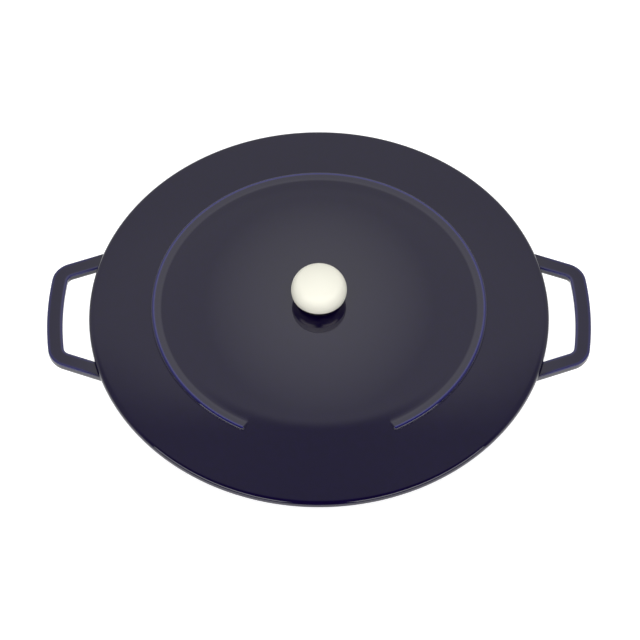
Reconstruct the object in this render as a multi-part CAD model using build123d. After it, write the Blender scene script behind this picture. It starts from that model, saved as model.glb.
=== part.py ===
from build123d import *
import os
from math import asin, atan2, cos, degrees, hypot, pi, radians, sin, sqrt, tan

# Enamelled cast iron dutch oven: a shallow flared pot, a domed lid and a screwed-on knob.
# Millimetres and degrees. Z is up, the pot stands on Z = 0, its handles lie along X and its front is -Y.

# Pot bowl
pot_height = 86.0
rim_radius = 139.0
base_radius = 80.0
side_bulge = 8.0
wall_thickness = 4.8
base_thickness = 5.5
base_edge_round = 30.0
floor_edge_round = 36.0
rim_edge_round = 0.3

# Loop handles, cast with the bowl
handle_reach = 171.6
handle_bow = 3.2
handle_drop = 0.4
handle_thickness = 7.4
handle_bar_width = 10.0
handle_arm_width = 9.9
handle_arm_angle = 20.5
handle_span_at_rim = 94.8
handle_outer_round = 15.0
handle_inner_round = 5.0
handle_top_round = 1.5
handle_under_round = 2.6
handle_root_depth = 20.0
handle_root_round = 4.0

# Lid casting
lid_radius = 145.0
flange_thickness = 4.2
flange_top_round = 1.6
flange_under_round = 1.2
lid_thickness = 4.0
plateau_height = 15.7
plateau_crown = 5.2
plateau_radius = 97.5
skirt_rise = 4.1
skirt_top_radius = 107.0
shoulder_round = 40.0

# Flat-topped ring that carries the plateau's edge outwards, open at the front
ring_start = 0.3
ring_top_width = 6.6
ring_step = 0.05
ring_outer_run = 2.3
ring_gap_angle = 52.0
ring_round = 0.7
ring_sink = 1.2

# Lip under the lid that finds the pot's mouth
lip_depth = 6.0
lip_width = 4.0
lip_clearance = 0.8
lip_round = 1.0

# Basting nubs under the lid
nub_rows = 4
nub_first_row_radius = 34.0
nub_row_step = 21.0
nub_pitch = 25.0
nub_height = 2.6
nub_radius = 3.2
nub_sink = 1.0

# Knob
knob_radius = 17.4
knob_height = 22.0
knob_widest_height = 10.0
knob_side_round = 13.0
knob_crown = 3.0
knob_shoulder_round = 6.0
knob_neck_radius = 9.5
knob_neck_height = 1.4
knob_under_round = 0.8
knob_seat_margin = 1.0

# Screw and washers that hold the knob
screw_radius = 3.0
thread_clearance = 0.1
screw_engagement = 8.5
bore_spare_depth = 1.2
screw_hole_clearance = 0.4
washer_hole_clearance = 0.2
screw_head_radius = 6.0
screw_head_height = 3.6
screw_head_round = 1.4
slot_width = 1.4
slot_depth = 1.5
plain_washer_radius = 8.0
plain_washer_thickness = 1.2
spring_washer_radius = 5.6
spring_washer_thickness = 1.6
spring_washer_gap = 1.2
spring_washer_slant = 30.0
boss_margin = 2.0
boss_height = 1.0

# Values worked out from the dimensions above
overshoot = 1.0
touch = 0.05
rounding_share = 0.45
root_rounding_share = 0.2
side_length = hypot(rim_radius - base_radius, pot_height)
side_arc_radius = (side_length**2 / 4 + side_bulge**2) / (2 * side_bulge)
side_arc_offset = (side_arc_radius - side_bulge) / side_length
side_centre_radius = (rim_radius + base_radius) / 2 - side_arc_offset * pot_height
side_centre_height = pot_height / 2 + side_arc_offset * (rim_radius - base_radius)
seat_height = pot_height
rim_top = seat_height + flange_thickness
lid_top = seat_height + plateau_height
boss_radius = plain_washer_radius + boss_margin
boss_face = lid_top - lid_thickness - boss_height
plain_washer_face = boss_face - plain_washer_thickness
head_face = plain_washer_face - spring_washer_thickness
handle_top = pot_height - handle_drop
gap_reach = handle_reach - handle_bar_width
gap_depth = gap_reach - handle_bow - rim_radius


def side_radius(height, arc_radius):
    """Radius, at a height, of an arc about the centre of the pot's curved side."""
    return side_centre_radius + sqrt(arc_radius**2 - (height - side_centre_height) ** 2)


def wall_radius(height):
    """Outer radius of the pot's curved side at a height."""
    return side_radius(height, side_arc_radius)


def cavity_radius(height):
    """Inner radius of the pot's curved side at a height."""
    return side_radius(height, side_arc_radius - wall_thickness)


def dome_drop(radius, edge_radius, crown):
    """How far a spherical dome falls from its top to a radius, for its crown at its edge."""
    sphere = (edge_radius**2 + crown**2) / (2 * crown)
    return sphere - sqrt(sphere**2 - radius**2)


def plateau_at(radius):
    """Height of the lid's domed plateau at a radius."""
    return lid_top - dome_drop(radius, plateau_radius, plateau_crown)


def skirt_at(radius):
    """Height of the lid's sloping skirt at a radius."""
    return rim_top + skirt_rise * (lid_radius - radius) / (lid_radius - skirt_top_radius)


def lid_top_at(radius):
    """Height of the lid's upper face at a radius, with a straight run between plateau and skirt."""
    if radius <= plateau_radius:
        return plateau_at(radius)
    if radius >= skirt_top_radius:
        return skirt_at(radius)
    share = (radius - plateau_radius) / (skirt_top_radius - plateau_radius)
    return plateau_at(plateau_radius) * (1 - share) + skirt_at(skirt_top_radius) * share


def rounded(profile, x, y, radius):
    """Round the corner of a flat profile that lies nearest to a point."""
    corner = profile.vertices().sort_by_distance((x, y, 0))[0]
    return fillet(corner, radius)


def turned(profile):
    """Spin a flat profile, drawn as radius and height, about the Z axis."""
    return revolve(Plane.XZ * profile, Axis.Z, 360)


def drum(radius, low, high):
    """Upright round bar between two heights."""
    return Pos(0, 0, (low + high) / 2) * Cylinder(radius, high - low)


def bowl_profile(radius_at, floor, top, edge_round):
    """Flat profile of the bowl's outside or inside: a floor and an arc up to its top."""
    middle = (floor + top) / 2
    outline = Curve() + [
        Polyline((radius_at(top), top), (0, top), (0, floor), (radius_at(floor), floor)),
        ThreePointArc((radius_at(floor), floor), (radius_at(middle), middle), (radius_at(top), top)),
    ]
    return rounded(make_face(outline), radius_at(floor), floor, edge_round)


def make_bowl():
    """Outside of the bowl as a solid."""
    profile = bowl_profile(wall_radius, 0, pot_height, base_edge_round)
    return turned(rounded(profile, rim_radius, pot_height, rim_edge_round))


def make_cavity():
    """Space inside the bowl, a wall's thickness in from its outside and open at the top."""
    return turned(bowl_profile(cavity_radius, base_thickness, pot_height + overshoot, floor_edge_round))


def handle_outline(reach, half_span, root, corner_round):
    """Half-hexagon with a bowed outer side, the plan of a loop handle or of its finger gap."""
    bar = reach - handle_bow
    lean = tan(radians(handle_arm_angle))
    root_half = half_span + (rim_radius - root) * lean
    bar_half = half_span - (bar - rim_radius) * lean
    outline = Curve() + [
        Polyline((bar, -bar_half), (root, -root_half), (root, root_half), (bar, bar_half)),
        ThreePointArc((bar, bar_half), (reach, 0), (bar, -bar_half)),
    ]
    plan = make_face(outline)
    plan = rounded(plan, bar, bar_half, corner_round)
    return rounded(plan, bar, -bar_half, corner_round)


def make_handle():
    """Loop handle on the +X side, its root sunk into the bowl's wall."""
    root = rim_radius - handle_root_depth
    half_span = handle_span_at_rim / 2
    gap_half_span = half_span - handle_arm_width / cos(radians(handle_arm_angle))
    loop = handle_outline(handle_reach, half_span, root, handle_outer_round)
    loop = loop - handle_outline(gap_reach, gap_half_span, root - overshoot, handle_inner_round)
    bar = Pos(0, 0, handle_top - handle_thickness) * extrude(loop, handle_thickness)
    free_edges = bar.edges().filter_by(lambda edge: edge.center().X > root + overshoot)
    bar = fillet(free_edges.group_by(Axis.Z)[-1], handle_top_round)
    free_edges = bar.edges().filter_by(lambda edge: edge.center().X > root + overshoot)
    return fillet(free_edges.group_by(Axis.Z)[0], handle_under_round)


def on_side(edge):
    """Whether an edge is a curve on the bowl's outer side, and not one of its level circles."""
    spots = [edge.position_at(share) for share in (0.2, 0.5, 0.8)]
    level = edge.geom_type == GeomType.CIRCLE
    return not level and all(abs(hypot(spot.X, spot.Y) - wall_radius(spot.Z)) < touch for spot in spots)


def make_pot():
    """Bowl and both loop handles as one casting, with rounded roots."""
    handle = make_handle()
    body = make_bowl() + handle + mirror(handle, Plane.YZ)
    roots = body.edges().filter_by(on_side)
    root_round = min(handle_root_round, root_rounding_share * gap_depth)
    return fillet(roots, root_round) - make_cavity()


def shoulder_limit():
    """Largest rounding that the short run between plateau and skirt has room for, one at each end."""
    run = skirt_top_radius - plateau_radius
    fall = plateau_at(plateau_radius) - skirt_at(skirt_top_radius)
    plateau_slope = asin(2 * plateau_radius * plateau_crown / (plateau_radius**2 + plateau_crown**2))
    skirt_slope = atan2(skirt_rise, lid_radius - skirt_top_radius)
    turn = max(abs(atan2(fall, run) - slope) for slope in (plateau_slope, skirt_slope))
    return rounding_share * hypot(run, fall) / tan(turn / 2)


def make_lid_shell():
    """Domed lid with its flange and locating lip, before the ring, nubs and screw hole."""
    lip_top = cavity_radius(seat_height) - lip_clearance
    lip_bottom = cavity_radius(seat_height - lip_depth) - lip_clearance
    lip_inner = lip_bottom - lip_width
    pad_radius = knob_neck_radius + knob_seat_margin
    mid_radius = plateau_radius / 2
    under_edge = plateau_at(plateau_radius) - lid_thickness
    under_boss = plateau_at(boss_radius) - lid_thickness
    outline = Curve() + [
        Line((0, boss_face), (0, lid_top)),
        Line((0, lid_top), (pad_radius, lid_top)),
        Line((pad_radius, lid_top), (pad_radius, plateau_at(pad_radius))),
        ThreePointArc(
            (pad_radius, plateau_at(pad_radius)),
            (mid_radius, plateau_at(mid_radius)),
            (plateau_radius, plateau_at(plateau_radius)),
        ),
        Polyline(
            (plateau_radius, plateau_at(plateau_radius)),
            (skirt_top_radius, skirt_at(skirt_top_radius)),
            (lid_radius, rim_top),
            (lid_radius, seat_height),
            (lip_top, seat_height),
            (lip_bottom, seat_height - lip_depth),
            (lip_inner, seat_height - lip_depth),
            (lip_inner, skirt_at(lip_inner) - lid_thickness),
            (skirt_top_radius, skirt_at(skirt_top_radius) - lid_thickness),
            (plateau_radius, under_edge),
        ),
        ThreePointArc(
            (plateau_radius, under_edge),
            (mid_radius, plateau_at(mid_radius) - lid_thickness),
            (boss_radius, under_boss),
        ),
        Polyline((boss_radius, under_boss), (boss_radius, boss_face), (0, boss_face)),
    ]
    profile = make_face(outline)
    shoulder = min(shoulder_round, shoulder_limit())
    profile = rounded(profile, plateau_radius, plateau_at(plateau_radius), shoulder)
    profile = rounded(profile, skirt_top_radius, skirt_at(skirt_top_radius), shoulder)
    profile = rounded(profile, lid_radius, rim_top, flange_top_round)
    profile = rounded(profile, lid_radius, seat_height, flange_under_round)
    profile = rounded(profile, lip_bottom, seat_height - lip_depth, lip_round)
    profile = rounded(profile, lip_inner, seat_height - lip_depth, lip_round)
    return turned(profile)


def make_ring():
    """Flat ring on from the plateau's edge, with a steep wall outside, open at the front with round ends."""
    crest = plateau_at(plateau_radius) + ring_step
    inner = plateau_radius + ring_start
    outer_crest = inner + ring_top_width
    outer_foot = outer_crest + ring_outer_run
    foot = skirt_at(outer_foot) - ring_sink
    profile = make_face(Polyline(
        (inner, foot),
        (inner, crest),
        (outer_crest, crest),
        (outer_foot, skirt_at(outer_foot)),
        (outer_foot, foot),
        close=True,
    ))
    ridge = turned(rounded(profile, outer_crest, crest, ring_round))
    middle = (inner + outer_foot) / 2
    plan_width = outer_foot - inner + overshoot
    end_angle = degrees(plan_width / 2 / middle)
    start_angle = ring_gap_angle / 2 - 90 + end_angle
    centre_line = CenterArc((0, 0), middle, start_angle, 360 - ring_gap_angle - 2 * end_angle)
    plan = extrude(SlotArc(centre_line, plan_width), crest - foot + 2 * overshoot)
    return ridge & Pos(0, 0, foot - overshoot) * plan


def make_nubs():
    """Rows of small domed nubs under the lid, each on a short root sunk into the casting."""
    tip_round = sin(radians(45))
    outline = Curve() + [
        Polyline((nub_radius, 0), (nub_radius, nub_sink), (0, nub_sink), (0, -nub_height)),
        ThreePointArc((0, -nub_height), (nub_radius * tip_round, -nub_height * tip_round), (nub_radius, 0)),
    ]
    nub = turned(make_face(outline))
    nubs = []
    for row in range(nub_rows):
        row_radius = nub_first_row_radius + row * nub_row_step
        count = round(2 * pi * row_radius / nub_pitch)
        face = lid_top_at(row_radius) - lid_thickness
        nubs += [place * Pos(0, 0, face) * nub for place in PolarLocations(row_radius, count)]
    return nubs


def make_lid():
    """Lid casting with ring, nubs and the hole for the knob's screw."""
    lid = make_lid_shell() + make_ring() + make_nubs()
    return lid - drum(screw_radius + screw_hole_clearance, boss_face - overshoot, lid_top + overshoot)


def knob_side_at(height):
    """Radius of the knob's bulging side at a height above the lid."""
    from_widest = height - knob_widest_height
    return knob_radius - knob_side_round + sqrt(knob_side_round**2 - from_widest**2)


def make_knob():
    """Turned knob: a round bulging side under a low crown, on a short neck, with a blind hole for the screw."""
    shoulder_height = knob_height - knob_crown
    shoulder = knob_side_at(shoulder_height)
    under_edge = knob_side_at(knob_neck_height)
    outline = Curve() + [
        Polyline(
            (0, knob_height),
            (0, 0),
            (knob_neck_radius, 0),
            (knob_neck_radius, knob_neck_height),
            (under_edge, knob_neck_height),
        ),
        ThreePointArc(
            (under_edge, knob_neck_height),
            (knob_radius, knob_widest_height),
            (shoulder, shoulder_height),
        ),
        ThreePointArc(
            (shoulder, shoulder_height),
            (shoulder / 2, knob_height - dome_drop(shoulder / 2, shoulder, knob_crown)),
            (0, knob_height),
        ),
    ]
    profile = make_face(outline)
    profile = rounded(profile, shoulder, shoulder_height, knob_shoulder_round)
    profile = rounded(profile, under_edge, knob_neck_height, knob_under_round)
    bore_depth = screw_engagement + bore_spare_depth
    knob = turned(profile) - drum(screw_radius + thread_clearance, -overshoot, bore_depth)
    return Pos(0, 0, lid_top) * knob


def make_screw():
    """Slotted pan-head screw, its head under the lid and its shank in the knob."""
    head = drum(screw_head_radius, head_face - screw_head_height, head_face)
    head = fillet(head.edges().group_by(Axis.Z)[0], screw_head_round)
    slot_height = head_face - screw_head_height + slot_depth / 2
    slot = Pos(0, 0, slot_height) * Box(2 * screw_head_radius + overshoot, slot_width, slot_depth)
    shank = drum(screw_radius, head_face, lid_top + screw_engagement)
    return head + shank - slot


def make_plain_washer():
    """Flat washer against the lid's boss."""
    hole_radius = screw_radius + washer_hole_clearance
    disc = drum(plain_washer_radius, plain_washer_face, boss_face)
    return disc - drum(hole_radius, plain_washer_face - overshoot, boss_face + overshoot)


def make_spring_washer():
    """Split spring washer, pressed flat between the screw's head and the plain washer."""
    hole_radius = screw_radius + washer_hole_clearance
    disc = drum(spring_washer_radius, head_face, plain_washer_face)
    disc -= drum(hole_radius, head_face - overshoot, plain_washer_face + overshoot)
    middle = (head_face + plain_washer_face) / 2
    cutter = Box(spring_washer_radius + overshoot, spring_washer_gap, 4 * spring_washer_thickness)
    return disc - Pos(spring_washer_radius / 2, 0, middle) * Rot(spring_washer_slant, 0, 0) * cutter


pieces = {
    "pot": make_pot(),
    "lid": make_lid(),
    "knob": make_knob(),
    "knob_screw": make_screw(),
    "spring_washer": make_spring_washer(),
    "plain_washer": make_plain_washer(),
}

os.makedirs("parts", exist_ok=True)
for name, piece in pieces.items():
    export_step(piece, f"parts/{name}.step")
    print(name, "volume cm3", round(piece.volume / 1000, 1))
print("capacity to the rim, litres", round(make_cavity().volume / 1e6, 2))
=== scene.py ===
# %% [markdown]
# The object is a shallow cast iron oven: a flared pot with two loop handles, a domed lid with a raised
# ring, and a metal knob that a screw holds from below. Its sizes are settled in the CAD model, which is
# loaded first and never moved. Glossy enamel mirrors the room, so every facet of a coarse mesh would
# show. That is why the lid, the pot and the knob are modelled again here as smooth meshes of nearly the
# same sizes, while the small screw and washers stay as they are.

# %% Load the frame
from math import asin, atan2, cos, degrees, hypot, pi, radians, sin, sqrt, tan

import bpy
import numpy as np
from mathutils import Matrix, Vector


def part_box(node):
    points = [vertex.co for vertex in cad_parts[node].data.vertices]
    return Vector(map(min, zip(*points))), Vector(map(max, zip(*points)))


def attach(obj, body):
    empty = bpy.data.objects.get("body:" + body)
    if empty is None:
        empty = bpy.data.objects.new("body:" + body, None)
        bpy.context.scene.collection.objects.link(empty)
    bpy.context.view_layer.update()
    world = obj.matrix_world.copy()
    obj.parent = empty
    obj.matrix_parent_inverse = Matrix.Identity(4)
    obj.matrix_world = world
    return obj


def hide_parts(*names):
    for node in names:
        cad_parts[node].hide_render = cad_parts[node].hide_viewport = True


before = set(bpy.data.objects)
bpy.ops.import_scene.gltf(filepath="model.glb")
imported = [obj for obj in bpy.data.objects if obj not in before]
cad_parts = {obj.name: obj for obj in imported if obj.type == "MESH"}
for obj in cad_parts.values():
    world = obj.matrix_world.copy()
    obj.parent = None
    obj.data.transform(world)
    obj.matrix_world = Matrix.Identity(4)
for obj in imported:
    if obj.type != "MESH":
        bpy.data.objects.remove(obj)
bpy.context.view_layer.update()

mm = 0.001

# %% [markdown]
# The photograph looks down on the lid from the front at a steep angle, through a long lens, so that near
# and far rim differ little in size. Camera and lens are set from the rim: where its centre falls in the
# picture and how large it is there. A small lens shift puts that centre on its pixel without turning the
# camera.

# %% Camera
seat_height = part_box("pot")[1].z
lid_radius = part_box("lid")[1].x
flange_thickness = 4.2 * mm
rim_middle = seat_height + flange_thickness / 2

photo_size = 640
rim_centre_pixel = (319.0, 311.6)
focal_pixels = 3172.0
sensor_width = 36.0
camera_elevation = radians(54.2)
camera_distance = 2.0

camera_place = Vector((0, -cos(camera_elevation), sin(camera_elevation))) * camera_distance
camera_place.z += rim_middle
bpy.ops.object.camera_add(location=camera_place, rotation=(pi / 2 - camera_elevation, 0, 0))
camera = bpy.context.object
camera.data.sensor_width = sensor_width
camera.data.lens = sensor_width * focal_pixels / photo_size
camera.data.shift_x = 0.5 - rim_centre_pixel[0] / photo_size
camera.data.shift_y = rim_centre_pixel[1] / photo_size - 0.5
bpy.context.scene.camera = camera
print("lens in mm:", round(camera.data.lens, 1))

# %% [markdown]
# Dark enamel has almost no colour of its own to show: what the eye reads as its shape is the room
# mirrored in it. The room is pale low down behind the oven, where the lid mirrors it towards the camera.
# It is dim overhead and almost black round the camera. The world shader draws that with two smooth steps
# on the direction of view. To the camera itself the world is white.

# %% Room
pale_level = 0.62
dim_level = 0.33
black_level = 0.03
pale_edge = (-0.01, 0.10)
dim_edge = (0.25, 0.60)


def link(tree, start, end):
    """Join an output socket to an input socket."""
    tree.links.new(start, end)


def add_node(tree, kind, **settings):
    """Add a shader node and set its plain properties."""
    node = tree.nodes.new(kind)
    for name, value in settings.items():
        setattr(node, name, value)
    return node


def add_math(tree, operation, first, second):
    """Add a Math node. Each input is a number or another node's socket."""
    node = add_node(tree, "ShaderNodeMath", operation=operation)
    for socket, value in zip(node.inputs, (first, second)):
        if isinstance(value, (int, float)):
            socket.default_value = value
        else:
            link(tree, value, socket)
    return node.outputs[0]


def add_range(tree, value, span, result, smooth=False):
    """Map a value's span onto another one, clamped at both ends."""
    node = add_node(tree, "ShaderNodeMapRange", interpolation_type="SMOOTHSTEP" if smooth else "LINEAR")
    link(tree, value, node.inputs["Value"])
    for name, number in zip(("From Min", "From Max", "To Min", "To Max"), (*span, *result)):
        node.inputs[name].default_value = number
    return node.outputs["Result"]


def add_dot(tree, vector, direction):
    """How far a vector points along a direction."""
    node = add_node(tree, "ShaderNodeVectorMath", operation="DOT_PRODUCT")
    link(tree, vector, node.inputs[0])
    node.inputs[1].default_value = direction
    return node.outputs["Value"]


def light_the_room():
    """Give the world its soft white room, and plain white to the camera."""
    world = bpy.data.worlds.new("soft_room")
    bpy.context.scene.world = world
    world.use_nodes = True
    tree = world.node_tree
    tree.nodes.clear()
    direction = add_node(tree, "ShaderNodeTexCoord").outputs["Generated"]
    above_mirrored = (0, -sin(camera_elevation), cos(camera_elevation))
    upwards = add_dot(tree, direction, above_mirrored)
    room = add_node(tree, "ShaderNodeBackground")
    walls = add_range(tree, upwards, pale_edge, (pale_level, dim_level), smooth=True)
    ceiling = add_range(tree, upwards, dim_edge, (1, black_level / dim_level), smooth=True)
    link(tree, add_math(tree, "MULTIPLY", walls, ceiling), room.inputs["Strength"])
    white = add_node(tree, "ShaderNodeBackground")
    mix = add_node(tree, "ShaderNodeMixShader")
    for background in (room, white):
        background.inputs["Color"].default_value = (1, 1, 1, 1)
    link(tree, add_node(tree, "ShaderNodeLightPath").outputs["Is Camera Ray"], mix.inputs["Fac"])
    link(tree, room.outputs[0], mix.inputs[1])
    link(tree, white.outputs[0], mix.inputs[2])
    link(tree, mix.outputs[0], add_node(tree, "ShaderNodeOutputWorld").inputs["Surface"])


light_the_room()
bpy.context.scene.view_settings.view_transform = "Standard"
print("world:", bpy.context.scene.world.name)

# %% [markdown]
# A round soft light hangs behind the oven, just where the flat lid mirrors it towards the camera. It is
# bright in its middle and fades to the level of the walls, which gives the lid its gentle glow. It hangs
# near, so the handles, which lie further out, mirror its dim edge. The light is a disc with a shader that
# works in the disc's own coordinates.

# %% Soft light behind
light_distance = 1.2
light_radius = 0.6
light_sides = 96
light_half_width = 0.49
light_half_height = 0.385
light_lift = 0.02
light_level = 0.70
light_glow = 0.50
glow_half_width = 0.27
glow_half_height = 0.33
light_fade = (0.8, 1.3)


def add_radius_squared(tree, place, half_width, half_height):
    """Squared distance from the middle of a flat thing, counted in its half width and half height."""
    parts = add_node(tree, "ShaderNodeSeparateXYZ")
    link(tree, place, parts.inputs[0])
    sizes = (("X", half_width), ("Y", half_height))
    shares = [add_math(tree, "DIVIDE", parts.outputs[axis], size) for axis, size in sizes]
    return add_math(tree, "ADD", *[add_math(tree, "MULTIPLY", share, share) for share in shares])


def start_bare_material(name):
    """New material with an empty node tree."""
    material = bpy.data.materials.new(name)
    material.use_nodes = True
    material.node_tree.nodes.clear()
    return material, material.node_tree


def make_soft_light():
    """Glowing disc that faces the lid, unseen by the camera."""
    bpy.ops.object.select_all(action="DESELECT")
    centre = Vector((0, cos(camera_elevation), sin(camera_elevation))) * light_distance
    centre += Vector((0, -sin(camera_elevation), cos(camera_elevation))) * light_lift
    centre.z += rim_middle
    turn = (camera_elevation - pi / 2, 0, 0)
    bpy.ops.mesh.primitive_circle_add(vertices=light_sides, radius=light_radius, fill_type="NGON",
                                      location=centre, rotation=turn)
    disc = bpy.context.object
    disc.name = "soft_light"
    disc.visible_camera = False
    material, tree = start_bare_material("soft_light")
    place = add_node(tree, "ShaderNodeTexCoord").outputs["Object"]
    inside = add_radius_squared(tree, place, glow_half_width, glow_half_height)
    outside = add_radius_squared(tree, place, light_half_width, light_half_height)
    glow = add_node(tree, "ShaderNodeEmission")
    level = add_range(tree, inside, (1, 0), (light_level, light_level + light_glow))
    link(tree, level, glow.inputs["Strength"])
    mix = add_node(tree, "ShaderNodeMixShader")
    link(tree, add_range(tree, outside, light_fade, (1, 0), smooth=True), mix.inputs["Fac"])
    link(tree, add_node(tree, "ShaderNodeBsdfTransparent").outputs[0], mix.inputs[1])
    link(tree, glow.outputs[0], mix.inputs[2])
    link(tree, mix.outputs[0], add_node(tree, "ShaderNodeOutputMaterial").inputs["Surface"])
    disc.data.materials.append(material)
    return disc


soft_light = make_soft_light()
print("soft light at", [round(value, 2) for value in soft_light.location])

# %% [markdown]
# The floor is a wide pale sheet. Its own shading keeps the soft shadow under the pot, and a little glow
# lifts the open floor to white. Only the camera and mirrors see that glow, so it lights nothing. Two wide
# soft lamps stand in front, left and right. The lid's face never mirrors them to the camera, but its edge
# and the ring catch them as fine highlights. Two more, one overhead and one low in front, light the satin
# knob. The enamel would mirror them as hard patches from some sides, so they are hidden from mirrors.

# %% Floor and lamps
floor_size = 12.0
floor_shade = 0.86
floor_glow = 0.6
lamp_distance = 1.6
lamp_width = 1.5
lamp_height = 0.5
lamp_power = 7.5
lamp_turn = radians(41.5)
lamp_elevation = radians(30.0)
fill_distance = 1.5
fill_width = 2.0
overhead_power = 16.0
low_power = 10.5
low_elevation = radians(22.0)


def make_floor():
    """Pale floor that catches the shadow and reads as white where nothing shades it."""
    bpy.ops.object.select_all(action="DESELECT")
    bpy.ops.mesh.primitive_plane_add(size=floor_size)
    floor = bpy.context.object
    floor.name = "floor"
    material, tree = start_bare_material("white_floor")
    paper = add_node(tree, "ShaderNodeBsdfDiffuse")
    paper.inputs["Color"].default_value = (floor_shade, floor_shade, floor_shade, 1)
    path = add_node(tree, "ShaderNodeLightPath")
    glow = add_node(tree, "ShaderNodeEmission")
    seen = path.outputs["Is Camera Ray"]
    for ray in ("Is Glossy Ray", "Is Transmission Ray"):
        seen = add_math(tree, "MAXIMUM", seen, path.outputs[ray])
    link(tree, add_math(tree, "MULTIPLY", seen, floor_glow), glow.inputs["Strength"])
    both = add_node(tree, "ShaderNodeAddShader")
    link(tree, paper.outputs[0], both.inputs[0])
    link(tree, glow.outputs[0], both.inputs[1])
    link(tree, both.outputs[0], add_node(tree, "ShaderNodeOutputMaterial").inputs["Surface"])
    floor.data.materials.append(material)
    return floor


def add_lamp(name, turn, elevation, distance, power):
    """Wide soft lamp that faces the oven, turned from the front and raised by two angles."""
    level = cos(elevation) * distance
    place = Vector((sin(turn) * level, -cos(turn) * level, sin(elevation) * distance))
    bpy.ops.object.light_add(type="AREA", location=place, rotation=(pi / 2 - elevation, 0, turn))
    lamp = bpy.context.object
    lamp.name = name
    lamp.data.energy = power
    return lamp


def add_front_lamp(name, turn):
    """Lamp in front of the oven, on one side, whose long shape the enamel's edges mirror."""
    lamp = add_lamp(name, turn, lamp_elevation, lamp_distance, lamp_power)
    lamp.data.shape = "RECTANGLE"
    lamp.data.size = lamp_width
    lamp.data.size_y = lamp_height
    return lamp


def add_fill(name, elevation, power):
    """Lamp that lights the knob from overhead or in front but shows in no mirror."""
    lamp = add_lamp(name, 0, elevation, fill_distance, power)
    lamp.data.size = fill_width
    lamp.visible_glossy = False
    return lamp


floor = make_floor()
lamps = [add_front_lamp("lamp_left", -lamp_turn), add_front_lamp("lamp_right", lamp_turn)]
lamps += [add_fill("lamp_overhead", pi / 2, overhead_power), add_fill("lamp_low", low_elevation, low_power)]
print("floor and lamps:", floor.name, [lamp.name for lamp in lamps])

# %% [markdown]
# Two effects are shared by several finishes, so each is a node group. The first is the skin of fired
# enamel: a slow ripple, where the glass flowed as it melted, and a fine grain. The second is the trace of
# a lathe, rings about the knob's axis that wander a little. Both read Object coordinates, which stay put
# however a piece is seen.

# %% Shared effects
wander_scale = 400.0


def start_group(name, inputs, outputs):
    """New shader group with number inputs and number outputs."""
    group = bpy.data.node_groups.new(name, "ShaderNodeTree")
    for label, value in inputs.items():
        socket = group.interface.new_socket(label, in_out="INPUT", socket_type="NodeSocketFloat")
        socket.default_value = value
    for label in outputs:
        group.interface.new_socket(label, in_out="OUTPUT", socket_type="NodeSocketFloat")
    return group, add_node(group, "NodeGroupInput"), add_node(group, "NodeGroupOutput")


def make_enamel_skin():
    """Group that puts out the slow ripple and the fine grain of fired enamel, each from 0 to 1."""
    group, given, made = start_group("enamel_skin", {"Ripples": 40.0, "Grains": 900.0}, ("Ripple", "Grain"))
    place = add_node(group, "ShaderNodeTexCoord").outputs["Object"]
    for source, result, detail in (("Ripples", "Ripple", 1.0), ("Grains", "Grain", 2.0)):
        noise = add_node(group, "ShaderNodeTexNoise")
        noise.inputs["Detail"].default_value = detail
        link(group, place, noise.inputs["Vector"])
        link(group, given.outputs[source], noise.inputs["Scale"])
        link(group, noise.outputs["Fac"], made.inputs[result])
    return group


def make_lathe_lines():
    """Group that puts out fine rings about the Z axis, from 0 to 1."""
    group, given, made = start_group("lathe_lines", {"Rings": 2500.0, "Wander": 0.00004}, ("Lines",))
    place = add_node(group, "ShaderNodeTexCoord").outputs["Object"]
    parts = add_node(group, "ShaderNodeSeparateXYZ")
    link(group, place, parts.inputs[0])
    squares = [add_math(group, "MULTIPLY", parts.outputs[axis], parts.outputs[axis]) for axis in ("X", "Y")]
    radius = add_math(group, "SQRT", add_math(group, "ADD", *squares), 0)
    noise = add_node(group, "ShaderNodeTexNoise")
    noise.inputs["Scale"].default_value = wander_scale
    link(group, place, noise.inputs["Vector"])
    wander = add_math(group, "MULTIPLY", noise.outputs["Fac"], given.outputs["Wander"])
    turns = add_math(group, "MULTIPLY", add_math(group, "ADD", radius, wander), given.outputs["Rings"])
    wave = add_math(group, "SINE", add_math(group, "MULTIPLY", turns, 2 * pi), 0)
    link(group, add_range(group, wave, (-1, 1), (0, 1)), made.inputs["Lines"])
    return group


enamel_skin = make_enamel_skin()
lathe_lines = make_lathe_lines()
print("shared effects:", enamel_skin.name, lathe_lines.name)

# %% [markdown]
# The outside is dark blue glass over iron. Melting enamel runs off sharp edges and stands thin there, so
# the lid's ring and the handles' edges show a brighter blue line. Each casting carries that as a number
# at every vertex, worked out from how sharply the surface bends, and this material reads it. The glass
# itself is smooth, with a slow ripple.

# %% Blue enamel
deep_blue = (0.0024, 0.0005, 0.0150, 1)
full_blue = (0.0036, 0.0008, 0.0260, 1)
thin_blue = (0.0320, 0.0320, 0.1900, 1)
blue_roughness = (0.03, 0.055)
noise_span = (0.3, 0.7)
enamel_index = 1.6


def start_material(name, index=1.5):
    """New material with its Principled shader ready."""
    material = bpy.data.materials.new(name)
    material.use_nodes = True
    shader = material.node_tree.nodes["Principled BSDF"]
    shader.inputs["IOR"].default_value = index
    return material, material.node_tree, shader


def add_group(tree, group, **values):
    """Place a shared effect in a material with its own values."""
    node = add_node(tree, "ShaderNodeGroup", node_tree=group)
    for name, value in values.items():
        node.inputs[name].default_value = value
    return node


def add_mix(tree, share, first, second):
    """Blend two colours. Each is a constant or another node's socket."""
    node = add_node(tree, "ShaderNodeMix", data_type="RGBA")
    link(tree, share, node.inputs["Factor"])
    for socket, value in ((node.inputs[6], first), (node.inputs[7], second)):
        if isinstance(value, tuple):
            socket.default_value = value
        else:
            link(tree, value, socket)
    return node.outputs[2]


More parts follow.
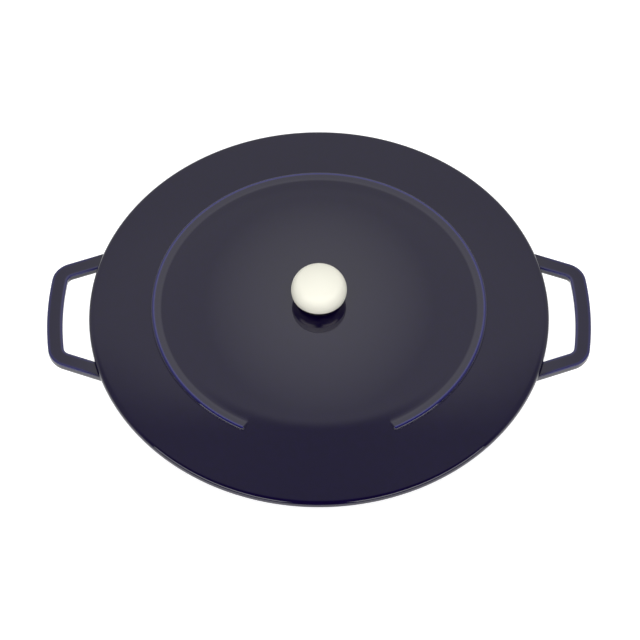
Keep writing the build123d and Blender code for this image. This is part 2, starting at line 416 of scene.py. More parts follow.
def add_bump(tree, shader, height, distance, strength):
    """Let a height from 0 to 1 tilt the surface."""
    bump = add_node(tree, "ShaderNodeBump")
    bump.inputs["Distance"].default_value = distance
    bump.inputs["Strength"].default_value = strength
    link(tree, height, bump.inputs["Height"])
    link(tree, bump.outputs["Normal"], shader.inputs["Normal"])


def make_blue_enamel():
    """Glossy dark blue enamel, brighter where it has run thin."""
    material, tree, shader = start_material("blue_enamel", enamel_index)
    skin = add_group(tree, enamel_skin, Ripples=55.0, Grains=260.0)
    thin = add_node(tree, "ShaderNodeAttribute", attribute_name="thin_enamel").outputs["Fac"]
    glass = add_mix(tree, skin.outputs["Grain"], deep_blue, full_blue)
    link(tree, add_mix(tree, thin, glass, thin_blue), shader.inputs["Base Color"])
    roughness = add_range(tree, skin.outputs["Grain"], noise_span, blue_roughness)
    link(tree, roughness, shader.inputs["Roughness"])
    add_bump(tree, shader, skin.outputs["Ripple"], distance=0.4 * mm, strength=0.05)
    return material


blue_enamel = make_blue_enamel()
print("made", blue_enamel.name)

# %% [markdown]
# Inside the pot and under the lid the enamel is black and matt, with a fine grain that holds oil. It
# shows when the lid is lifted. The same skin group serves, with a much stronger grain and a rough
# surface.

# %% Black enamel
black_low = (0.0090, 0.0090, 0.0100, 1)
black_high = (0.0200, 0.0195, 0.0200, 1)
black_roughness = (0.45, 0.6)


def make_black_enamel():
    """Matt black enamel with a fine grain."""
    material, tree, shader = start_material("black_enamel")
    skin = add_group(tree, enamel_skin, Ripples=90.0, Grains=1500.0)
    link(tree, add_mix(tree, skin.outputs["Grain"], black_low, black_high), shader.inputs["Base Color"])
    roughness = add_range(tree, skin.outputs["Ripple"], noise_span, black_roughness)
    link(tree, roughness, shader.inputs["Roughness"])
    add_bump(tree, shader, skin.outputs["Grain"], distance=0.15 * mm, strength=0.5)
    return material


black_enamel = make_black_enamel()
print("made", black_enamel.name)

# %% [markdown]
# The knob is turned metal with a nickel plate, satin and warm white above and polished on its lower side.
# The lower side's colour is also painted darker, as painted shade, so that the lid mirrors a dark
# underside. Lathe rings, far too fine to count, blur what it mirrors. The screw and washers under the lid
# are zinc plated steel with the same rings, coarser and greyer.

# %% Metals
nickel_low = (0.91, 0.895, 0.78, 1)
nickel_high = (0.95, 0.935, 0.82, 1)
# Painted shade: the polished lower side's colour is darker than nickel, so the lid mirrors a dark underside
nickel_polished_painted_shade = (0.30, 0.285, 0.25, 1)
polish_and_shade_height = 7.4 * mm
polish_and_shade_fade = 0.3 * mm
satin_metallic = 0.12
satin_roughness = (0.62, 0.56)
polished_share = 0.45
nickel_rings = 3500.0
nickel_relief = 0.05
zinc_low = (0.42, 0.42, 0.42, 1)
zinc_high = (0.62, 0.62, 0.60, 1)
zinc_roughness = (0.42, 0.30)
zinc_rings = 1800.0
zinc_relief = 0.2
lathe_depth = 0.02 * mm


def make_nickel():
    """Nickel plate with lathe rings, satin above and polished below, where painted shade darkens its
    colour.
    """
    material, tree, shader = start_material("satin_nickel")
    lines = add_group(tree, lathe_lines, Rings=nickel_rings).outputs["Lines"]
    parts = add_node(tree, "ShaderNodeSeparateXYZ")
    link(tree, add_node(tree, "ShaderNodeTexCoord").outputs["Object"], parts.inputs[0])
    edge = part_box("knob")[0].z + polish_and_shade_height
    fade = (edge - polish_and_shade_fade, edge + polish_and_shade_fade)
    satin_unshaded = add_range(tree, parts.outputs["Z"], fade, (0, 1), smooth=True)
    plate = add_mix(tree, lines, nickel_low, nickel_high)
    # Below the edge the colour becomes the painted shade colour, and metallic and roughness change for the
    # polish
    link(tree, add_mix(tree, satin_unshaded, nickel_polished_painted_shade, plate), shader.inputs["Base Color"])
    link(tree, add_range(tree, satin_unshaded, (0, 1), (1.0, satin_metallic)), shader.inputs["Metallic"])
    blur = add_range(tree, lines, (0, 1), satin_roughness)
    smoothing = add_range(tree, satin_unshaded, (0, 1), (polished_share, 1))
    link(tree, add_math(tree, "MULTIPLY", blur, smoothing), shader.inputs["Roughness"])
    add_bump(tree, shader, lines, lathe_depth, nickel_relief)
    return material


def make_zinc():
    """Zinc plate with lathe rings in its colour, its roughness and its relief."""
    material, tree, shader = start_material("zinc_steel")
    shader.inputs["Metallic"].default_value = 1
    lines = add_group(tree, lathe_lines, Rings=zinc_rings).outputs["Lines"]
    link(tree, add_mix(tree, lines, zinc_low, zinc_high), shader.inputs["Base Color"])
    link(tree, add_range(tree, lines, (0, 1), zinc_roughness), shader.inputs["Roughness"])
    add_bump(tree, shader, lines, lathe_depth, zinc_relief)
    return material


satin_nickel = make_nickel()
zinc_steel = make_zinc()
print("made", satin_nickel.name, zinc_steel.name)

# %% [markdown]
# The lid, the bowl and the knob are all round, so one way of working serves them: draw half a section as
# a chain of vertices, round its corners, and spin it about the middle. The chain is drawn by extruding
# one vertex from corner to corner, and a corner is rounded by bevelling its vertex. Only then is it spun,
# so that every ring of faces is true.

# %% Tools for turned pieces
weld_reach = 0.001 * mm


def trace_outline(name, corners):
    """Draw a half section, radius and height, by extruding a vertex from corner to corner."""
    bpy.ops.object.select_all(action="DESELECT")
    bpy.ops.mesh.primitive_plane_add(size=mm)
    outline = bpy.context.object
    outline.name = name
    outline.data.name = name
    bpy.ops.object.mode_set(mode="EDIT")
    bpy.ops.mesh.select_all(action="SELECT")
    bpy.ops.mesh.merge(type="CENTER")
    bpy.ops.transform.translate(value=(corners[0][0], 0, corners[0][1]))
    for (radius, height), (next_radius, next_height) in zip(corners, corners[1:]):
        move = {"value": (next_radius - radius, 0, next_height - height)}
        bpy.ops.mesh.extrude_region_move(TRANSFORM_OT_translate=move)
    bpy.ops.mesh.select_all(action="SELECT")
    bpy.ops.mesh.remove_doubles(threshold=weld_reach)
    bpy.ops.object.mode_set(mode="OBJECT")
    return outline


def select_vertices(piece, wanted):
    """Leave the piece in edit mode with just the vertices selected whose place passes a test."""
    bpy.ops.object.mode_set(mode="EDIT")
    bpy.ops.mesh.select_mode(type="VERT")
    bpy.ops.mesh.select_all(action="DESELECT")
    bpy.ops.object.mode_set(mode="OBJECT")
    for vertex in piece.data.vertices:
        vertex.select = wanted(vertex.co)
    bpy.ops.object.mode_set(mode="EDIT")


def round_corner(outline, corner, radius, cuts):
    """Round one corner of a half section by bevelling its vertex."""
    spot = Vector((corner[0], 0, corner[1]))
    vertex = min(outline.data.vertices, key=lambda near: (near.co - spot).length)
    ends = [key for edge in outline.data.edges if vertex.index in edge.vertices for key in edge.vertices]
    arms = [outline.data.vertices[key].co - vertex.co for key in ends if key != vertex.index]
    turn = pi - arms[0].angle(arms[1])
    place = vertex.co.copy()
    select_vertices(outline, lambda near: (near - place).length < weld_reach)
    bpy.ops.mesh.bevel(offset=radius * tan(turn / 2), segments=cuts, affect="VERTICES")
    bpy.ops.object.mode_set(mode="OBJECT")


def spin_outline(stretches):
    """Spin the active half section into a closed mesh, in stretches of an angle and its steps."""
    bpy.ops.object.mode_set(mode="EDIT")
    bpy.ops.mesh.select_all(action="SELECT")
    for turn, steps in stretches:
        bpy.ops.mesh.spin(steps=steps, angle=turn, center=(0, 0, 0), axis=(0, 0, 1))
    bpy.ops.mesh.select_all(action="SELECT")
    bpy.ops.mesh.remove_doubles(threshold=weld_reach)
    bpy.ops.mesh.normals_make_consistent(inside=False)
    bpy.ops.object.mode_set(mode="OBJECT")


def smooth_piece(piece, levels):
    """Subdivide a piece for good, then shade it smooth."""
    subdivide = piece.modifiers.new("smooth", "SUBSURF")
    subdivide.levels = levels
    subdivide.render_levels = levels
    bpy.ops.object.modifier_apply(modifier=subdivide.name)
    bpy.ops.object.shade_smooth()


def paint_faces(piece, outside, inside, is_inside):
    """Give a piece two finishes: one for the faces whose middle passes a test, one for the rest."""
    piece.data.materials.clear()
    piece.data.materials.append(outside)
    piece.data.materials.append(inside)
    for face in piece.data.polygons:
        face.material_index = int(is_inside(face.center))


def report(piece):
    """Print a piece's size in millimetres and its face count."""
    sides = [round(side / mm, 1) for side in piece.dimensions]
    print(piece.name, sides, "mm,", len(piece.data.polygons), "faces")


print("tools for turned pieces: vertices weld within", weld_reach / mm, "mm")

# %% [markdown]
# The lid's half section runs from the knob's seat over the plateau, through a soft bend to the sloping
# skirt, round the edge, under the flange, round the lip that finds the pot's mouth, and back below. The
# upper face is a formula, so that the ring and the underside can use it too.

# %% Lid outline
lid_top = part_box("knob")[0].z
rim_top = seat_height + flange_thickness
plateau_radius = 97.5 * mm
plateau_crown = 5.2 * mm
bend_radius = 91.5 * mm
bend_reach = 6.0 * mm
lid_thickness = 4.0 * mm
screw_hole_radius = 3.4 * mm
boss_radius = 10.0 * mm
boss_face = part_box("plain_washer")[1].z
lip_outer_top = 133.2 * mm
lip_outer = 131.2 * mm
lip_inner = 127.2 * mm
lip_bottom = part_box("lid")[0].z
flange_top_round = 2.6 * mm
flange_under_round = 1.2 * mm
lip_round = 1.0 * mm


def plateau_face(radius):
    """Height of the lid's domed plateau at a radius."""
    sphere = (plateau_radius**2 + plateau_crown**2) / (2 * plateau_crown)
    return lid_top - sphere + sqrt(sphere**2 - radius**2)


def ease(share):
    """Smooth step from 0 to 1 as a share runs from 0 to 1."""
    share = min(max(share, 0), 1)
    return share * share * (3 - 2 * share)


def lid_face(radius):
    """Height of the lid's upper face at a radius without its ring: plateau, soft bend and skirt."""
    slope = (plateau_face(bend_radius) - rim_top) / (lid_radius - bend_radius)
    skirt = rim_top + slope * (lid_radius - radius)
    blend = ease((radius - bend_radius + bend_reach) / (2 * bend_reach))
    return plateau_face(radius) * (1 - blend) + skirt * blend


def spaced(first, last, count):
    """Evenly spaced values from first to last, both included."""
    return [first + (last - first) * step / (count - 1) for step in range(count)]


print("lid rises", round((lid_top - rim_top) / mm, 1), "mm from its edge to the knob's seat")

# %% [markdown]
# The ring is a low rib on the sloping skirt. Its top leans inwards and runs softly into the skirt on the
# inner side. On the outer side it ends in a crisp crest and a wall that grows steeper towards its foot,
# as an arc does. The ring stops at the front, and both its ends are rounded. Each height is a formula of
# the radius and of the distance from the ring's end. Rows of vertices stand closest together where the
# ring bends most.

# %% Ring rows
ring_inner = 98.4 * mm
ring_top_start = 101.6 * mm
ring_top_end = 104.0 * mm
ring_foot = 105.7 * mm
ring_rise = 6.45 * mm
ring_tilt = 0.12
ring_soften = 0.35 * mm
ring_gap = radians(51.9)
ring_end_run = 1.1 * mm
ring_end_round = 1.2 * mm
wall_start = radians(10.0)
wall_end = radians(84.0)


def ring_wall(turn):
    """Share of the wall's run and share of its drop where its arc has turned so far."""
    run = (sin(turn) - sin(wall_start)) / (sin(wall_end) - sin(wall_start))
    drop = (cos(wall_start) - cos(turn)) / (cos(wall_start) - cos(wall_end))
    return run, drop


def ring_face(radius):
    """Height of the lid's face at a radius where the ring is: soft bend, top or wall."""
    top = rim_top + ring_rise
    if radius > ring_top_end:
        run = (radius - ring_top_end) / (ring_foot - ring_top_end)
        turn = asin(sin(wall_start) + run * (sin(wall_end) - sin(wall_start)))
        return top - (top - lid_face(ring_foot)) * ring_wall(turn)[1]
    rise = top - ring_tilt * (ring_top_end - radius) - lid_face(radius)
    if abs(rise) < ring_soften:
        return lid_face(radius) + (rise + ring_soften) ** 2 / (4 * ring_soften)
    return lid_face(radius) + max(rise, 0)


def ring_share(place):
    """How much of the ring's height stands at a place: 0 in the gap, 1 in the ring, rounded at the ends."""
    radius = hypot(place.x, place.y)
    across = (2 * radius - ring_inner - ring_foot) / (ring_foot - ring_inner)
    from_end = (abs(atan2(place.x, -place.y)) - ring_gap / 2) * radius
    from_end -= ring_end_round * (1 - sqrt(max(1 - across**2, 0)))
    rounding = min(max(1 - from_end / ring_end_run, 0), 1)
    return sqrt(1 - rounding**2)


bend_rows = spaced(ring_inner, ring_top_start, count=6)
top_shares = (0.3, 0.6, 0.85, 0.94, 1)
top_rows = [ring_top_start + share * (ring_top_end - ring_top_start) for share in top_shares]
wall_shares = [ring_wall(turn)[0] for turn in spaced(wall_start, wall_end, count=10)[1:]]
wall_rows = [ring_top_end + share * (ring_foot - ring_top_end) for share in wall_shares]
ring_rows = [*bend_rows, *top_rows, *wall_rows]
print("ring stands", round((ring_face(ring_top_end) - lid_face(ring_foot)) / mm, 2), "mm above the skirt")

# %% [markdown]
# Now the outline is traced, its edges are rounded and it is spun, with closer steps where the ring's ends
# will be. The vertices of the ring's rows are then raised to the ring's face. One level of subdivision
# rounds the crest and the ends.

# %% Lid casting
wide_step = radians(1.8)
close_step = radians(0.2)
close_reach = radians(2.6)
plateau_rows = 18
plateau_gap = 2.0 * mm
foot_gap = 0.2 * mm
skirt_rows = 8
skirt_gap = 1.5 * mm
edge_gap = 3.0 * mm
under_rows = 16


def lid_stretches():
    """The lid's turn in five stretches, two of them with close steps at the ring's ends."""
    front = pi / 2
    ends = (front - ring_gap / 2, front + ring_gap / 2)
    stops = (0, *[end + side for end in ends for side in (-close_reach, close_reach)], 2 * pi)
    turns = [stop - start for start, stop in zip(stops, stops[1:])]
    steps = (wide_step, close_step, wide_step, close_step, wide_step)
    return [(turn, round(turn / step)) for turn, step in zip(turns, steps)]


def raise_ring(lid):
    """Lift the vertices of the ring's rows, which lie on the lid's upper face, to the ring's face."""
    for vertex in lid.data.vertices:
        radius = hypot(vertex.co.x, vertex.co.y)
        on_top = vertex.co.z > lid_face(radius) - lid_thickness / 2
        if on_top and ring_inner <= radius < ring_foot:
            vertex.co.z += (ring_face(radius) - lid_face(radius)) * ring_share(vertex.co)


def make_lid():
    """Lid casting with flange, lip and interrupted ring."""
    face_radii = [
        *spaced(boss_radius, ring_inner - plateau_gap, plateau_rows),
        *ring_rows,
        ring_foot + foot_gap,
        *spaced(ring_foot + skirt_gap, lid_radius - edge_gap, skirt_rows),
    ]
    face = [(radius, lid_face(radius)) for radius in face_radii]
    under_radii = spaced(lip_inner, boss_radius, under_rows)
    under = [(radius, lid_face(radius) - lid_thickness) for radius in under_radii]
    corners = [
        (screw_hole_radius, lid_top),
        *face,
        (lid_radius, rim_top),
        (lid_radius, seat_height),
        (lip_outer_top, seat_height),
        (lip_outer, lip_bottom),
        (lip_inner, lip_bottom),
        *under,
        (boss_radius, boss_face),
        (screw_hole_radius, boss_face),
        (screw_hole_radius, lid_top),
    ]
    lid = trace_outline("lid_casting", corners)
    round_corner(lid, (lid_radius, rim_top), flange_top_round, cuts=5)
    round_corner(lid, (lid_radius, seat_height), flange_under_round, cuts=4)
    round_corner(lid, (lip_outer, lip_bottom), lip_round, cuts=3)
    round_corner(lid, (lip_inner, lip_bottom), lip_round, cuts=3)
    spin_outline(lid_stretches())
    raise_ring(lid)
    smooth_piece(lid, levels=1)
    return lid


lid = make_lid()
report(lid)

# %% [markdown]
# Under the lid stand rows of small domed nubs, from which the steam drips back. One nub is a sphere that
# is flattened and cut off flat at its root. Spin with its copies option then sets it round the lid, row
# by row, and the rows are joined to the lid.

# %% Basting nubs
nub_row_radii = (34.0 * mm, 55.0 * mm, 76.0 * mm, 97.0 * mm)
nub_pitch = 25.0 * mm
nub_radius = 3.2 * mm
nub_height = 2.6 * mm
nub_root = 0.8 * mm
nub_crease = radians(50.0)


def make_nub_row(row_radius):
    """One circle of nubs under the lid."""
    count = round(2 * pi * row_radius / nub_pitch)
    root = lid_face(row_radius) - lid_thickness
    bpy.ops.object.select_all(action="DESELECT")
    bpy.ops.mesh.primitive_uv_sphere_add(segments=16, ring_count=12, radius=nub_radius)
    row = bpy.context.object
    bpy.ops.object.mode_set(mode="EDIT")
    bpy.ops.mesh.select_all(action="SELECT")
    bpy.ops.transform.resize(value=(1, 1, nub_height / nub_radius))
    bpy.ops.mesh.bisect(plane_co=(0, 0, nub_root), plane_no=(0, 0, 1), use_fill=True, clear_outer=True)
    bpy.ops.mesh.select_all(action="SELECT")
    bpy.ops.transform.translate(value=(row_radius, 0, root))
    copies = count - 1
    turn = 2 * pi / count * copies
    bpy.ops.mesh.spin(steps=copies, dupli=True, angle=turn, center=(0, 0, 0), axis=(0, 0, 1))
    bpy.ops.object.mode_set(mode="OBJECT")
    bpy.ops.object.shade_smooth_by_angle(angle=nub_crease)
    return row


def join_pieces(main, others):
    """Join pieces into one object and make it the active one."""
    bpy.ops.object.select_all(action="DESELECT")
    for piece in (*others, main):
        piece.select_set(True)
    bpy.context.view_layer.objects.active = main
    bpy.ops.object.join()


def under_lid(place):
    """Whether a point of the lid lies on its black underside."""
    radius = hypot(place.x, place.y)
    return radius < lid_radius - 2 * flange_top_round and place.z < lid_face(radius) - lid_thickness / 2


join_pieces(lid, [make_nub_row(radius) for radius in nub_row_radii])
paint_faces(lid, blue_enamel, black_enamel, under_lid)
report(lid)

# %% [markdown]
# The bowl's side is one long arc in section, with a generous round where it meets the flat base. The
# inside follows it at the wall's thickness. Both are traced as one chain, from the middle of the base
# round the rim to the middle of the floor.

# %% Bowl
rim_radius = 139.0 * mm
base_radius = 80.0 * mm
side_bulge = 6.2 * mm
wall_thickness = 4.8 * mm
base_thickness = 5.5 * mm
base_round = 30.0 * mm
floor_round = 36.0 * mm
rim_round = 0.3 * mm
bowl_steps = 288
side_rows = 24
side_rows_start = 18.0 * mm
side_rows_gap = 2.0 * mm
side_length = hypot(rim_radius - base_radius, seat_height)
side_arc = (side_length**2 / 4 + side_bulge**2) / (2 * side_bulge)
side_offset = (side_arc - side_bulge) / side_length
side_middle_radius = (rim_radius + base_radius) / 2 - side_offset * seat_height
side_middle_height = seat_height / 2 + side_offset * (rim_radius - base_radius)


def wall_face(height, depth=0.0):
    """Radius of the bowl's curved side at a height, on its outside or some depth into its wall."""
    return side_middle_radius + sqrt((side_arc - depth) ** 2 - (height - side_middle_height) ** 2)


def make_bowl():
    """Bowl with a flat base, a curved side and an even wall."""
    heights = spaced(side_rows_start, seat_height - side_rows_gap, side_rows)
    outer = [(wall_face(height), height) for height in heights]
    inner = [(wall_face(height, wall_thickness), height) for height in reversed(heights)]
    outer_foot = (wall_face(0), 0)
    inner_foot = (wall_face(base_thickness, wall_thickness), base_thickness)
    outer_rim = (wall_face(seat_height), seat_height)
    inner_rim = (wall_face(seat_height, wall_thickness), seat_height)
    corners = [
        (0, 0),
        (base_radius / 3, 0),
        (base_radius * 2 / 3, 0),
        outer_foot,
        *outer,
        outer_rim,
        inner_rim,
        *inner,
        inner_foot,
        (base_radius * 2 / 3, base_thickness),
        (base_radius / 3, base_thickness),
        (0, base_thickness),
    ]
    bowl = trace_outline("pot_casting", corners)
    round_corner(bowl, outer_foot, base_round, cuts=14)
    round_corner(bowl, inner_foot, floor_round, cuts=14)
    round_corner(bowl, outer_rim, rim_round, cuts=4)
    round_corner(bowl, inner_rim, rim_round, cuts=4)
    spin_outline([(2 * pi, bowl_steps)])
    bpy.ops.object.shade_smooth()
    return bowl


bowl = make_bowl()
report(bowl)

# %% [markdown]
# A loop handle is a bar of one section, bent at two corners. It is alike on both sides of its middle, so
# only half of it is made: the section is extruded along the arm, spun round the corner and spun to the
# middle of the slightly bowed grip. A mirror then gives the other half and the other handle. The centres
# of both bends follow from the handle's reach and the arm's lean.

# %% Handle bends
handle_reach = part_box("pot")[1].x
handle_drop = 0.4 * mm
handle_thickness = 7.4 * mm
handle_width = 9.95 * mm
arm_lean = radians(20.5)
arm_half_span = 42.1 * mm
corner_radius = 10.0 * mm
grip_radius = 203.6 * mm
handle_middle = seat_height - handle_drop - handle_thickness / 2
arm_way = Vector((cos(arm_lean), -sin(arm_lean), 0))
arm_side = Vector((-sin(arm_lean), -cos(arm_lean), 0))
arm_start = Vector((rim_radius, arm_half_span, handle_middle))
grip_centre = Vector((handle_reach - handle_width / 2 - grip_radius, 0, handle_middle))
from_grip = arm_start + arm_side * corner_radius - grip_centre
along = from_grip.dot(arm_way)
arm_length = -along + sqrt(along**2 - from_grip.length_squared + (grip_radius - corner_radius) ** 2)
corner_centre = arm_start + arm_way * arm_length + arm_side * corner_radius
grip_half_turn = atan2(corner_centre.y, corner_centre.x - grip_centre.x)
corner_turn = pi / 2 - arm_lean - grip_half_turn
print("handle: arm", round(arm_length / mm, 1), "mm, corner", round(degrees(corner_turn), 1), "degrees")

# %% [markdown]
# The section is a rectangle with soft upper corners and rounder lower ones. A plane is turned to face
# along the arm, its corners are bevelled as vertices, its long edges get a few more vertices so that the
# flats shade flat, and its face is deleted to leave a closed wire.

# %% Handle section
handle_top_round = 0.8 * mm
handle_under_round = 4.2 * mm
root_clearance = 7.0 * mm
section_cuts = 6
flat_cuts = 5
same_place = 0.01 * mm


def draw_section():
    """Bar section as a selected wire, square to the arm, where the arm leaves its rounded root."""
    bpy.ops.object.select_all(action="DESELECT")
    start = arm_start + arm_way * root_clearance
    bpy.ops.mesh.primitive_plane_add(size=1, location=start, rotation=(0, pi / 2, -arm_lean))
    section = bpy.context.object
    section.name = "handles"
    section.scale = (handle_thickness, handle_width, 1)
    bpy.ops.object.transform_apply(location=True, rotation=True, scale=True)
    top = handle_middle + handle_thickness / 2
    bottom = handle_middle - handle_thickness / 2
    for level, radius in ((top, handle_top_round), (bottom, handle_under_round)):
        select_vertices(section, lambda place: abs(place.z - level) < same_place)
        bpy.ops.mesh.bevel(offset=radius, segments=section_cuts, affect="VERTICES")
        bpy.ops.object.mode_set(mode="OBJECT")
    bpy.ops.object.mode_set(mode="EDIT")
    bpy.ops.mesh.select_mode(type="EDGE")
    bpy.ops.mesh.select_all(action="DESELECT")
    bpy.ops.object.mode_set(mode="OBJECT")
    for edge in section.data.edges:
        first, second = (section.data.vertices[key].co for key in edge.vertices)
        edge.select = (first - second).length > handle_under_round / 2
    bpy.ops.object.mode_set(mode="EDIT")
    bpy.ops.mesh.subdivide(number_cuts=flat_cuts)
    bpy.ops.mesh.select_all(action="SELECT")
    bpy.ops.mesh.delete(type="ONLY_FACE")
    bpy.ops.mesh.select_all(action="SELECT")
    bpy.ops.object.mode_set(mode="OBJECT")
    return section


handles = draw_section()
print("section has", len(handles.data.vertices), "vertices")

# %% [markdown]
# Handle and bowl are one casting, so each arm flows into the wall with a round. The section is first
# extruded inwards as a few close rings. Each ring is then laid nearer to the wall and a little wider, as
# a quarter circle runs. The bowl is a turned form, so the wall's place at any point is a formula, and the
# rings follow its curve.

# %% Handle root
root_round = 4.0 * mm
root_rings = 10
root_step = 0.5 * mm
root_sink = 1.5 * mm
root_trials = 6
root_top_limit = seat_height - handle_drop


def wall_place(side, height):
    """Distance of the bowl's wall from the middle plane, at a place along the handle and a height."""
    return sqrt(wall_face(height) ** 2 - side**2)


def section_normal(across, up):
    """Outward direction of the bar's section at one of its vertices."""
    rounding = handle_top_round if up > 0 else handle_under_round
    core_across = min(max(across, rounding - handle_width / 2), handle_width / 2 - rounding)
    core_up = min(max(up, rounding - handle_thickness / 2), handle_thickness / 2 - rounding)
    return (arm_side * (across - core_across) + Vector((0, 0, up - core_up))).normalized()


def root_place(place):
    """Where a vertex of the straight inner rings goes, to round the arm into the wall."""
    from_start = place - arm_start
    inwards = root_clearance - from_start.dot(arm_way)
    share = min(inwards / root_step - 1, root_rings) / root_rings * pi / 2
    sunk = root_sink if inwards > root_step * (root_rings + 1.5) else 0
    lift = root_round * (1 - sin(share)) - sunk
    spread = root_round * (1 - cos(share))
    spot = place + section_normal(from_start.dot(arm_side), from_start.z) * spread
    spot.z = min(spot.z, root_top_limit)
    for trial in range(root_trials):
        spot -= arm_way * ((spot.x - wall_place(spot.y, spot.z) - lift) / arm_way.x)
    return spot


def make_root():
    """Extrude the wire inwards, close it and lay its rings against the wall."""
    bpy.ops.object.mode_set(mode="EDIT")
    # One more ring starts the round, and another sinks into the wall
    for ring in range(root_rings + 2):
        bpy.ops.mesh.extrude_region_move(TRANSFORM_OT_translate={"value": -arm_way * root_step})
    bpy.ops.mesh.edge_face_add()
    bpy.ops.object.mode_set(mode="OBJECT")
    for vertex in handles.data.vertices:
        if (vertex.co - arm_start).dot(arm_way) < root_clearance - root_step / 2:
            vertex.co = root_place(vertex.co)


make_root()
report(handles)

# %% [markdown]
# Now the wire at the root's outer end is extruded along the arm and spun twice. The mirror modifier
# copies the half across the grip's middle, where it merges, and across the pot. The result joins the bowl
# as one casting. The pot's inside and the land of its rim take the black enamel.

# %% Handle loops
arm_steps = 6
corner_steps = 18
grip_steps = 12
mirror_reach = 0.02 * mm


def bend_bar():
    """Run the section along the arm, round the corner and to the middle of the grip, then mirror it."""
    start = arm_start + arm_way * root_clearance
    select_vertices(handles, lambda place: abs((place - start).dot(arm_way)) < same_place)
    run = arm_way * (arm_length - root_clearance) / arm_steps
    for step in range(arm_steps):
        bpy.ops.mesh.extrude_region_move(TRANSFORM_OT_translate={"value": run})
    bpy.ops.mesh.spin(steps=corner_steps, angle=corner_turn, center=corner_centre, axis=(0, 0, 1))
    bpy.ops.mesh.spin(steps=grip_steps, angle=grip_half_turn, center=grip_centre, axis=(0, 0, 1))
    bpy.ops.object.mode_set(mode="OBJECT")
    mirror = handles.modifiers.new("both_sides", "MIRROR")
    mirror.use_axis = (True, True, False)
    mirror.merge_threshold = mirror_reach
    bpy.ops.object.modifier_apply(modifier=mirror.name)
    bpy.ops.object.mode_set(mode="EDIT")
    bpy.ops.mesh.select_all(action="SELECT")
    bpy.ops.mesh.normals_make_consistent(inside=False)
    bpy.ops.object.mode_set(mode="OBJECT")
    bpy.ops.object.shade_smooth()


def in_pot(place):
    """Whether a point of the pot lies on its black inside or on its rim's land."""
    radius = hypot(place.x, place.y)
    if place.z > seat_height - rim_round / 4:
        return radius < rim_radius - rim_round
    return place.z > base_thickness / 2 and radius < wall_face(place.z) - wall_thickness / 2


bend_bar()
join_pieces(bowl, [handles])
paint_faces(bowl, blue_enamel, black_enamel, in_pot)
report(bowl)

# %% [markdown]
# Where the castings bend sharply the enamel is thin. The bend at a vertex is read from its edges: an edge
# that drops away from the surface's normal curves outwards, and the more it drops for its length, the
# tighter the curve. Flats and gentle curves get 0, and an edge as tight as the ring's crest gets the most
# that its piece allows. A few rounds of fading then soften the line's border.

# %% Thin enamel
flat_bend = 1 / (3.0 * mm)
edge_bend = 1 / (1.6 * mm)
shortest_edge = 0.05 * mm
fade_reach = 0.4 * mm
thin_fades = 4
thin_share = 0.75
inside_crest = 0.5 * mm
outside_crest = 0.8 * mm
ring_most = 0.9
handle_most = 0.4


def on_ring_edge(place):
    """Whether a point lies at the crest of the lid's ring, away from the ring's ends."""
    from_crest = hypot(place.x, place.y) - ring_top_end
    return -inside_crest < from_crest < outside_crest and ring_share(place) == 1


def on_handle(place):
    """Whether a point of the pot lies outside its rim, on a handle."""
    return hypot(place.x, place.y) > rim_radius + root_round


def read_rows(items, name, width, kind=float):
    """A property of all vertices or edges as rows of numbers."""
    values = np.empty(len(items) * width, kind)
    items.foreach_get(name, values)
    return values.reshape(-1, width)


def mark_thin_enamel(piece, counts, most):
    """Store at each vertex how thin the enamel stands, from 0 to a most, where the place counts."""
    mesh = piece.data
    places = read_rows(mesh.vertices, "co", 3)
    normals = read_rows(mesh.vertices, "normal", 3)
    ends = read_rows(mesh.edges, "vertices", 2, int)
    tightest = np.zeros(len(places))
    for first, second in (ends.T, ends.T[::-1]):
        step = places[second] - places[first]
        length = np.maximum(np.linalg.norm(step, axis=1), shortest_edge)
        bend = -2 * (step * normals[first]).sum(axis=1) / length**2
        np.maximum.at(tightest, first, bend)
    thin = np.clip((tightest - flat_bend) / (edge_bend - flat_bend), 0, 1) * most
    for number in np.flatnonzero(thin):
        thin[number] *= counts(Vector(places[number]))
    near = ends[np.linalg.norm(places[ends[:, 0]] - places[ends[:, 1]], axis=1) < fade_reach]
    for fade in range(thin_fades):
        spread = thin.copy()
        for first, second in (near.T, near.T[::-1]):
            np.maximum.at(spread, first, thin[second] * thin_share)
        thin = spread
    mesh.attributes.new("thin_enamel", "FLOAT", "POINT").data.foreach_set("value", thin)
    print(piece.name, "thin at", np.count_nonzero(thin), "vertices")


mark_thin_enamel(lid, on_ring_edge, ring_most)
mark_thin_enamel(bowl, on_handle, handle_most)

# %% [markdown]
# The knob has a round bulging side under a low crown, and stands on a short neck. Its side and its crown
# are arcs, given as formulas. It is turned like the castings, with the blind hole for its screw left open
# below.

# %% Knob
knob_low, knob_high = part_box("knob")
knob_radius = knob_high.x
knob_widest_height = 10.0 * mm
knob_side_round = 13.0 * mm
knob_crown = 3.0 * mm
knob_shoulder_round = 6.0 * mm
knob_neck_radius = 9.5 * mm
knob_neck_height = 1.4 * mm
knob_under_round = 0.8 * mm
knob_bore_radius = 3.1 * mm
knob_bore_depth = 9.7 * mm
knob_steps = 160
knob_crown_rows = 8
knob_crown_gap = 3.0 * mm
knob_side_rows = 18
knob_shoulder_gap = 2.0 * mm
knob_under_gap = 1.5 * mm
knob_crease = radians(40.0)


def knob_side(height):
    """Radius of the knob's bulging side at a height above the lid."""
    return knob_radius - knob_side_round + sqrt(knob_side_round**2 - (height - knob_widest_height) ** 2)


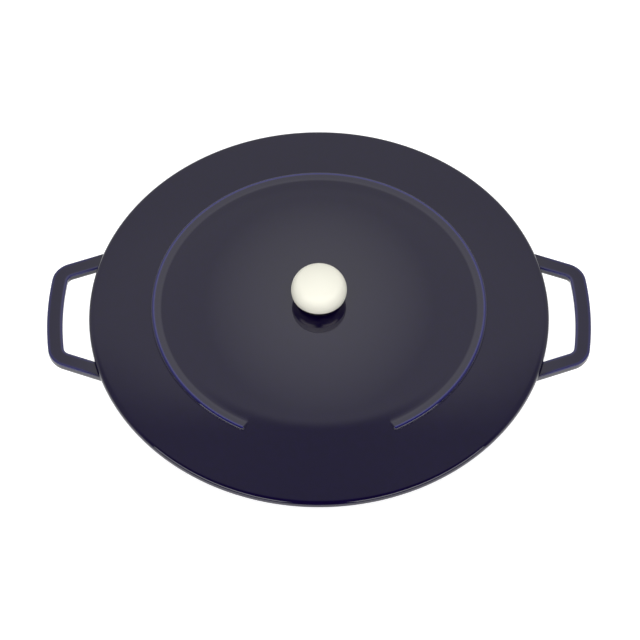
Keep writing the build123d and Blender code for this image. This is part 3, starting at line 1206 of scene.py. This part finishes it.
def make_knob():
    """Turned knob with its blind screw hole."""
    shoulder_height = knob_high.z - knob_low.z - knob_crown
    shoulder = (knob_side(shoulder_height), knob_low.z + shoulder_height)
    under_edge = (knob_side(knob_neck_height), knob_low.z + knob_neck_height)
    sphere = (shoulder[0] ** 2 + knob_crown**2) / (2 * knob_crown)
    radii = spaced(0, shoulder[0] - knob_crown_gap, knob_crown_rows)
    crown = [(radius, knob_high.z - sphere + sqrt(sphere**2 - radius**2)) for radius in radii]
    lowest = knob_neck_height + knob_under_gap
    heights = spaced(shoulder_height - knob_shoulder_gap, lowest, knob_side_rows)
    side = [(knob_side(height), knob_low.z + height) for height in heights]
    corners = [
        *crown,
        shoulder,
        *side,
        under_edge,
        (knob_neck_radius, knob_low.z + knob_neck_height),
        (knob_neck_radius, knob_low.z),
        (knob_bore_radius, knob_low.z),
        (knob_bore_radius, knob_low.z + knob_bore_depth),
        (0, knob_low.z + knob_bore_depth),
    ]
    knob = trace_outline("lid_knob", corners)
    round_corner(knob, shoulder, knob_shoulder_round, cuts=10)
    round_corner(knob, under_edge, knob_under_round, cuts=6)
    spin_outline([(2 * pi, knob_steps)])
    bpy.ops.object.shade_smooth_by_angle(angle=knob_crease)
    knob.data.materials.append(satin_nickel)
    return knob


knob = make_knob()
report(knob)

# %% [markdown]
# The screw and its washers are the CAD nodes themselves, because their shape is already right. They only
# take the zinc finish in place of the plain one that came with them.

# %% Screw and washers
for name in ("knob_screw", "spring_washer", "plain_washer"):
    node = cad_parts[name]
    node.data.materials.clear()
    node.data.materials.append(zinc_steel)
    print(name, "takes", zinc_steel.name)

# %% [markdown]
# Last, each new piece is listed with the CAD body that carries it, the CAD node it stands for and the
# finish of the record it shows. Each piece is attached to its body, and that CAD node is hidden.

# %% Ride and hidden nodes
for piece, body, node, slot in (
    (lid, "lid", "lid", "enamelled_iron"),
    (bowl, "pot", "pot", "enamelled_iron"),
    (knob, "lid", "knob", "satin_nickel"),
):
    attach(piece, body)
    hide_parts(node)
